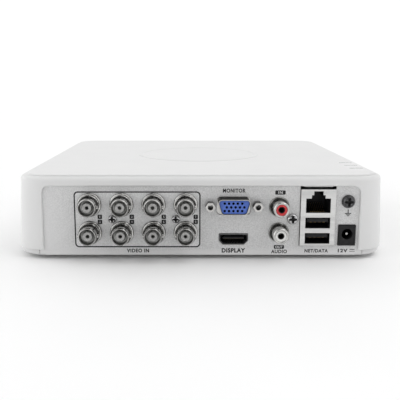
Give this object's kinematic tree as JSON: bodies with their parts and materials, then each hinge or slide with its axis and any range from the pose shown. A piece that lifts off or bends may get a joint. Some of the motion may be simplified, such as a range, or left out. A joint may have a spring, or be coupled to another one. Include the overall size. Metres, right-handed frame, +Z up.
{
  "type": "video recorder",
  "caption": "Compact white surveillance video recorder: flat square casing, steel connector panel with video, network, data, audio, monitor and power sockets, and a hard drive inside.",
  "frame": {"origin": "centre of the bounding box, on the plane of the rubber feet", "axes": "+Z up; -Y is the side with the connectors and +Y the plain edge that faces the user; +X is to the right when facing the connectors"},
  "size_m": [0.2, 0.2092, 0.0458],
  "materials": {
    "cover_plastic": "fine spark texture, white",
    "tray_plastic": "fine spark texture, light grey",
    "panel_paint": "fine speckled silver-grey paint",
    "clear_plastic": "translucent",
    "foot_rubber": "matt",
    "zinc_steel": "zinc plated",
    "nickel": "nickel plated",
    "dielectric": "fluoropolymer",
    "black_plastic": "moulded",
    "blue_plastic": "moulded",
    "red_plastic": "moulded",
    "white_plastic": "moulded",
    "shield_steel": "tin plated",
    "black_steel": "black oxide",
    "board_green": "solder mask",
    "chip_epoxy": "moulded",
    "black_aluminium": "black anodised",
    "can_aluminium": "sleeved",
    "cell_steel": "nickel plated",
    "led_white": "phosphor",
    "red_sheath": "flexible",
    "wire_sheath": "flexible",
    "cast_aluminium": "cast, clear lacquer",
    "lid_steel": "stamped",
    "platter_mirror": "polished",
    "arm_aluminium": "machined"
  },
  "bodies": {
    "base": {"base_tray": "tray_plastic", "rear_panel": "panel_paint", "rubber_feet": "foot_rubber", "cover_screws": "zinc_steel", "panel_screws": "zinc_steel", "bnc_shell_1": "nickel", "bnc_shell_2": "nickel", "bnc_shell_3": "nickel", "bnc_shell_4": "nickel", "bnc_shell_5": "nickel", "bnc_shell_6": "nickel", "bnc_shell_7": "nickel", "bnc_shell_8": "nickel", "bnc_insulators": "dielectric", "bnc_contacts": "nickel", "bnc_housing_left": "black_plastic", "bnc_housing_right": "black_plastic", "vga_shell": "nickel", "vga_insert": "blue_plastic", "vga_jackscrews": "nickel", "vga_housing": "black_plastic", "display_socket_shell": "black_steel", "display_socket_tongue": "black_plastic", "rca_shell_in": "nickel", "rca_shell_out": "nickel", "rca_insert_in": "red_plastic", "rca_insert_out": "white_plastic", "rca_housing": "black_plastic", "lan_usb_shield": "shield_steel", "lan_usb_core": "black_plastic", "usb_tongue_upper": "black_plastic", "usb_tongue_lower": "black_plastic", "dc_jack_housing": "black_plastic", "dc_jack_pin": "nickel", "main_board": "board_green", "main_chip": "chip_epoxy", "heatsink": "black_aluminium", "memory_chips": "chip_epoxy", "capacitors": "can_aluminium", "coin_cell": "cell_steel", "coin_cell_holder": "black_plastic", "buzzer": "black_plastic", "status_leds": "led_white", "board_screws": "zinc_steel", "drive_headers": "black_plastic", "data_lead": "red_sheath", "power_lead": "wire_sheath", "lead_plugs": "black_plastic", "drive_casting": "cast_aluminium", "drive_lid": "lid_steel", "drive_board": "board_green", "drive_connector": "black_plastic", "drive_screws": "zinc_steel"},
    "cover": {"top_cover": "cover_plastic", "light_guide": "clear_plastic"},
    "ground_washer": {"ground_washer": "black_steel"},
    "ground_screw": {"ground_screw": "black_steel"},
    "platters": {"drive_platters": "platter_mirror"},
    "actuator": {"drive_actuator": "arm_aluminium"}
  },
  "joints": [
    {"name": "cover_lift", "type": "slide", "parent": "base", "child": "cover", "axis": [0, 0, 1], "range_m": [0, 0.06]},
    {"name": "earth_screw_out", "type": "slide", "parent": "base", "child": "ground_washer", "axis": [0, -1, 0], "range_m": [0, 0.004]},
    {"name": "earth_screw_turn", "type": "hinge", "parent": "ground_washer", "child": "ground_screw", "pos_m": [0.0779, -0.09395, 0.0316], "axis": [0, -1, 0], "range_deg": [0, 2058.1]},
    {"name": "platters_spin", "type": "hinge", "parent": "base", "child": "platters", "pos_m": [-0.02, 0.04725, 0.0054], "axis": [0, 0, 1], "continuous": true},
    {"name": "actuator_swing", "type": "hinge", "parent": "base", "child": "actuator", "pos_m": [0.042, 0.01725, 0.0054], "axis": [0, 0, -1], "range_deg": [0, 26]}
  ],
  "couplings": [
    {"joint": "earth_screw_turn", "follows": "earth_screw_out", "rad_per_m": 8976}
  ]
}
